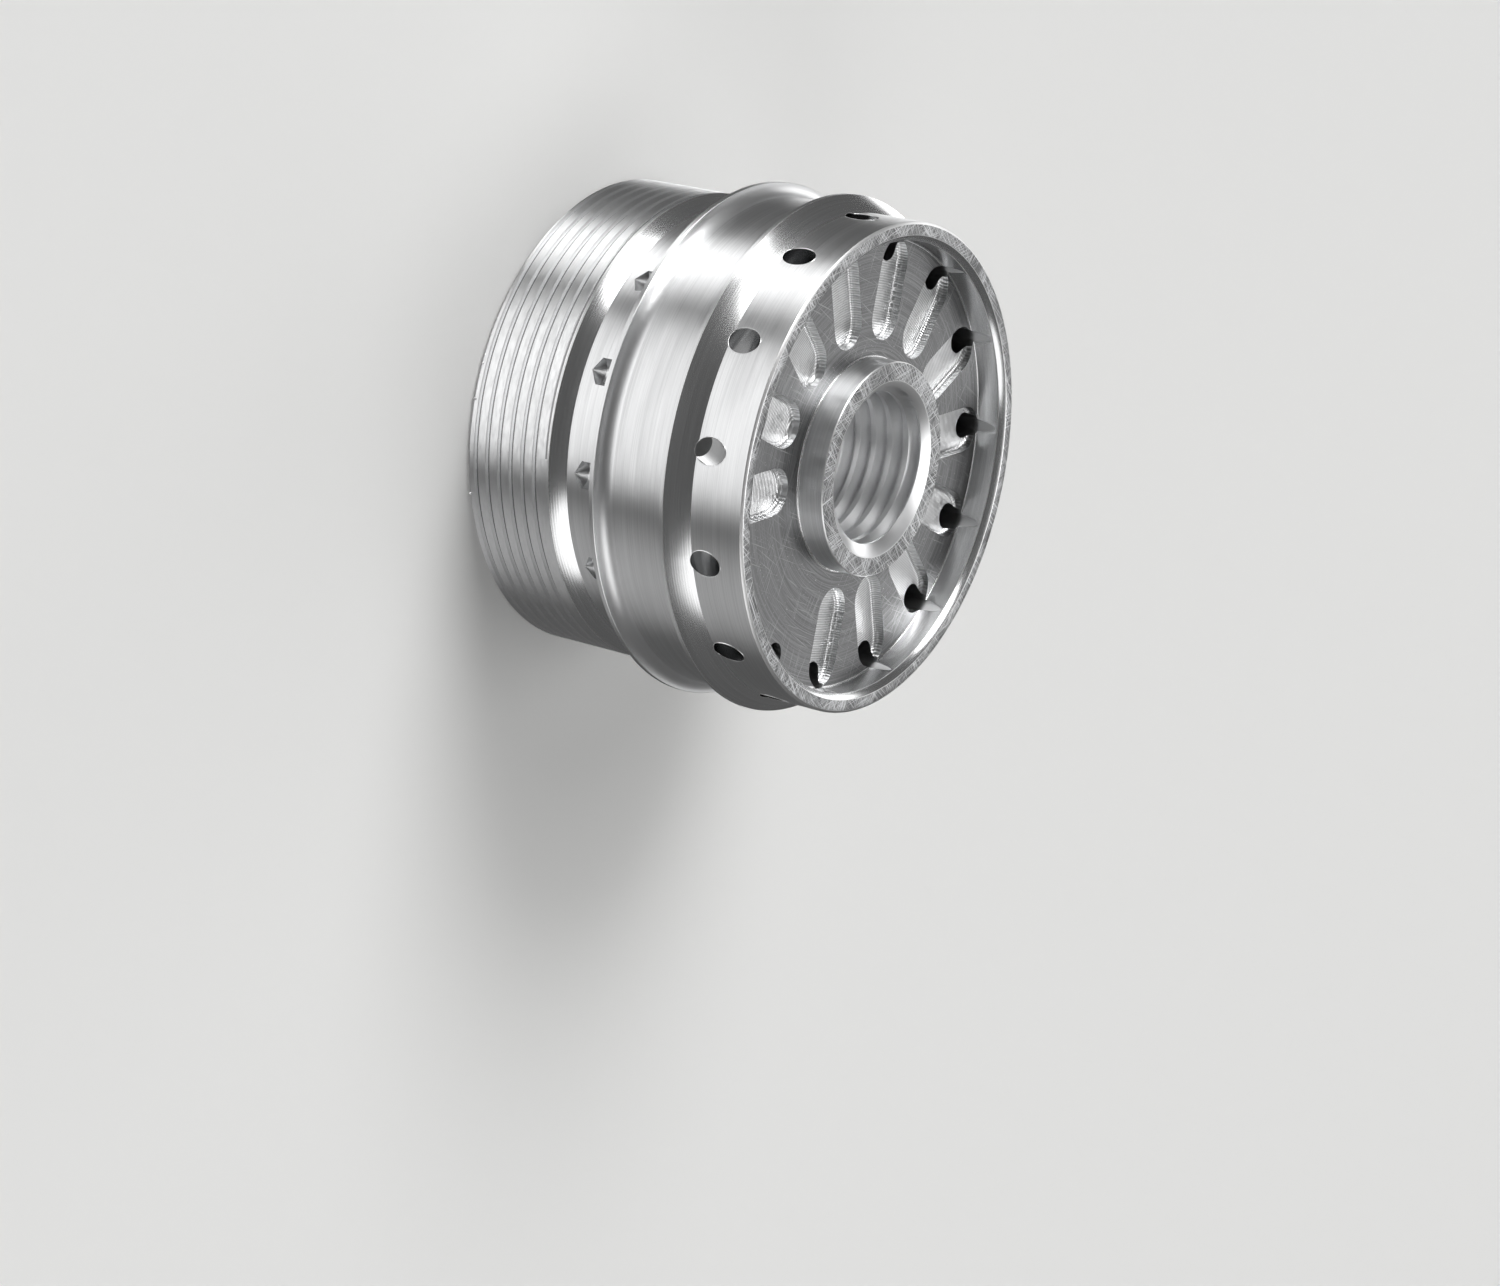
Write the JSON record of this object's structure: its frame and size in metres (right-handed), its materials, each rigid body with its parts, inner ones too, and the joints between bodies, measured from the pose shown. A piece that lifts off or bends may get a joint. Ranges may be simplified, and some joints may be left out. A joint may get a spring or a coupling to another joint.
{
  "type": "cnc turned part",
  "caption": "Turned aluminium body with an external thread at the rear, ridges, a front cavity with a threaded hub, milled pockets, and rings of long and oblique drilled holes.",
  "frame": {"origin": "centre of the rear end face, on the turning axis, where the part stands", "axes": "+Z along the turning axis towards the front face, +X through the middle of the sector without pockets"},
  "size_m": [0.0542, 0.0542, 0.0347],
  "materials": {
    "aluminium": "bright, as turned and milled, with fine tool marks"
  },
  "bodies": {
    "root": {"turned_body": "aluminium"}
  },
  "joints": []
}
